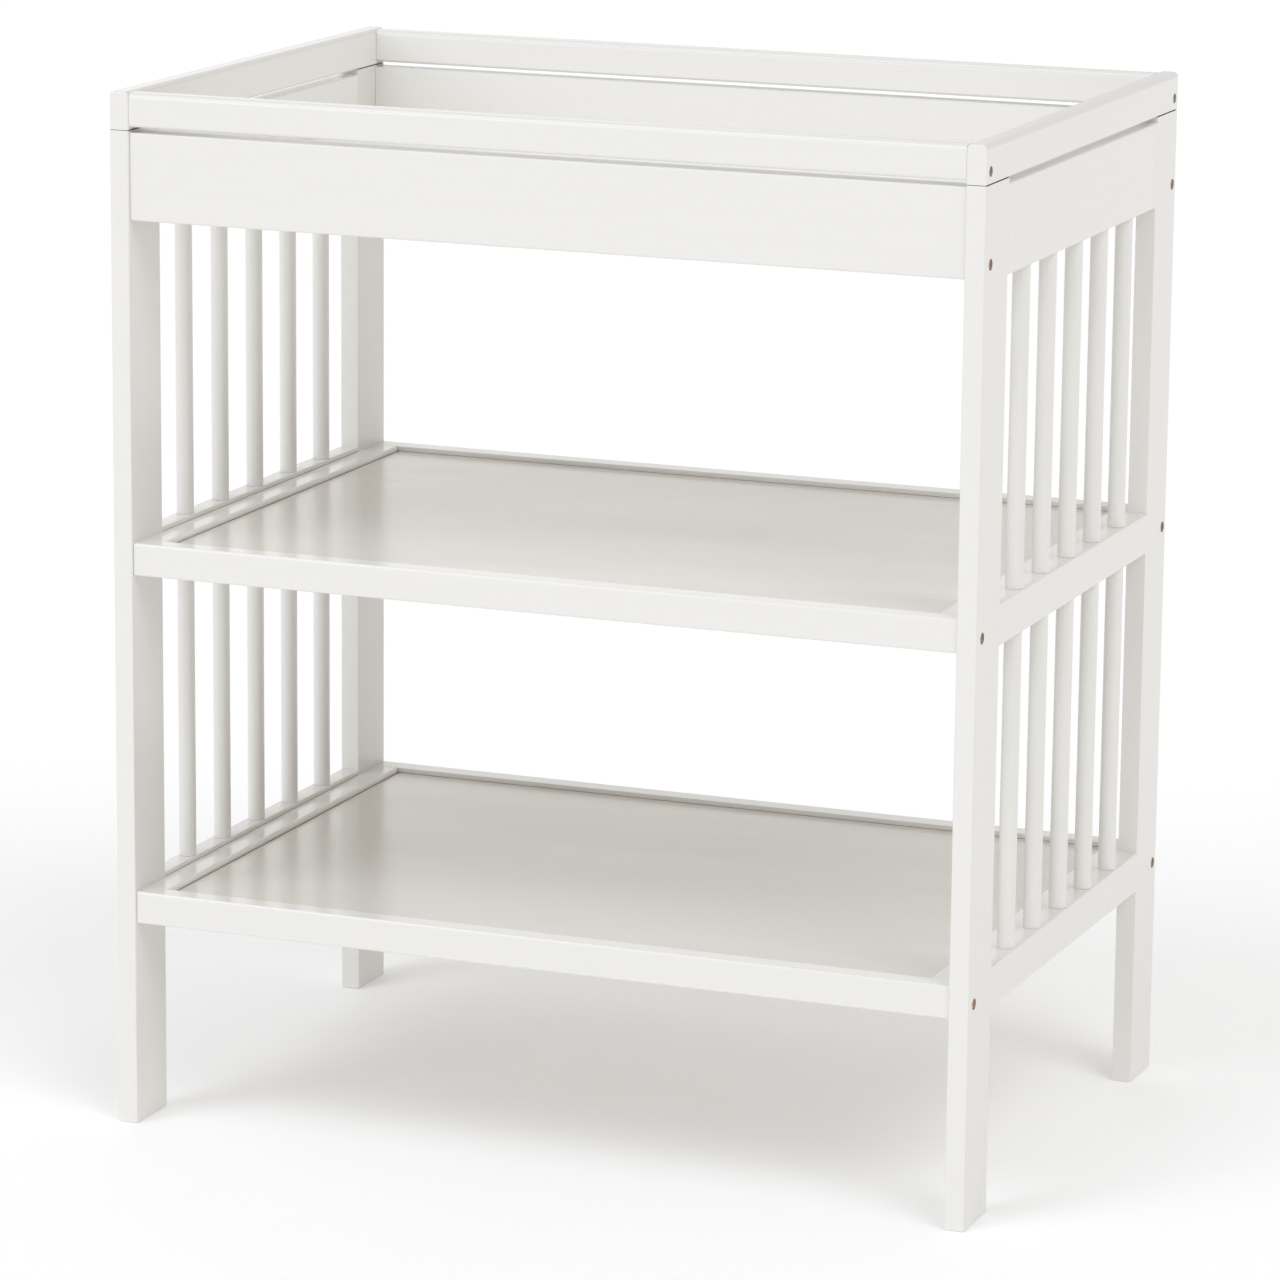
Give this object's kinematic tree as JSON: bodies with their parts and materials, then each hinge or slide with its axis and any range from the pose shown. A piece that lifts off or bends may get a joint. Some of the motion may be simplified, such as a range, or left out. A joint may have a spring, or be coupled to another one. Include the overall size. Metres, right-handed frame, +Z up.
{
  "type": "changing table",
  "caption": "White painted changing table with spindled side frames, two open panelled shelves and a shallow changing tray inside a raised rim.",
  "frame": {"origin": "on the floor, under the centre of the table's footprint", "axes": "+Z up, +X to the right-hand side frame seen from the front, +Y from the front to the back"},
  "size_m": [0.8, 0.54, 0.93],
  "materials": {
    "painted_frame": "semi-gloss white paint on solid wood",
    "painted_spindles": "semi-gloss white paint on turned wood",
    "painted_shelf_rails": "semi-gloss white paint on solid wood",
    "painted_rim": "semi-gloss white paint on solid wood, rounded top",
    "shelf_panels": "glossy off-white coating on thin fibreboard",
    "tray_deck": "semi-gloss white coating on fibreboard",
    "bare_wood": "unpainted beech",
    "zinc_steel": "zinc-plated steel"
  },
  "bodies": {
    "root": {"left_front_leg": "painted_frame", "left_back_leg": "painted_frame", "right_front_leg": "painted_frame", "right_back_leg": "painted_frame", "left_side_apron": "painted_frame", "left_mid_rail": "painted_frame", "left_bottom_rail": "painted_frame", "right_side_apron": "painted_frame", "right_mid_rail": "painted_frame", "right_bottom_rail": "painted_frame", "left_lower_spindle_1": "painted_spindles", "left_lower_spindle_2": "painted_spindles", "left_lower_spindle_3": "painted_spindles", "left_lower_spindle_4": "painted_spindles", "left_lower_spindle_5": "painted_spindles", "left_upper_spindle_1": "painted_spindles", "left_upper_spindle_2": "painted_spindles", "left_upper_spindle_3": "painted_spindles", "left_upper_spindle_4": "painted_spindles", "left_upper_spindle_5": "painted_spindles", "right_lower_spindle_1": "painted_spindles", "right_lower_spindle_2": "painted_spindles", "right_lower_spindle_3": "painted_spindles", "right_lower_spindle_4": "painted_spindles", "right_lower_spindle_5": "painted_spindles", "right_upper_spindle_1": "painted_spindles", "right_upper_spindle_2": "painted_spindles", "right_upper_spindle_3": "painted_spindles", "right_upper_spindle_4": "painted_spindles", "right_upper_spindle_5": "painted_spindles", "bottom_shelf_front_rail": "painted_shelf_rails", "bottom_shelf_back_rail": "painted_shelf_rails", "bottom_shelf_left_batten": "painted_shelf_rails", "bottom_shelf_right_batten": "painted_shelf_rails", "bottom_shelf_panel": "shelf_panels", "mid_shelf_front_rail": "painted_shelf_rails", "mid_shelf_back_rail": "painted_shelf_rails", "mid_shelf_left_batten": "painted_shelf_rails", "mid_shelf_right_batten": "painted_shelf_rails", "mid_shelf_panel": "shelf_panels", "front_apron": "painted_frame", "back_apron": "painted_frame", "changing_deck": "tray_deck", "deck_front_batten": "painted_shelf_rails", "deck_back_batten": "painted_shelf_rails", "deck_left_batten": "painted_shelf_rails", "deck_right_batten": "painted_shelf_rails", "rim_front_rail": "painted_rim", "rim_back_rail": "painted_rim", "rim_left_rail": "painted_rim", "rim_right_rail": "painted_rim", "frame_bolts": "zinc_steel", "barrel_nuts": "zinc_steel", "rim_screws": "zinc_steel", "batten_screws": "zinc_steel", "side_dowels": "bare_wood", "rail_dowels": "bare_wood", "rim_dowels": "bare_wood"}
  },
  "joints": []
}
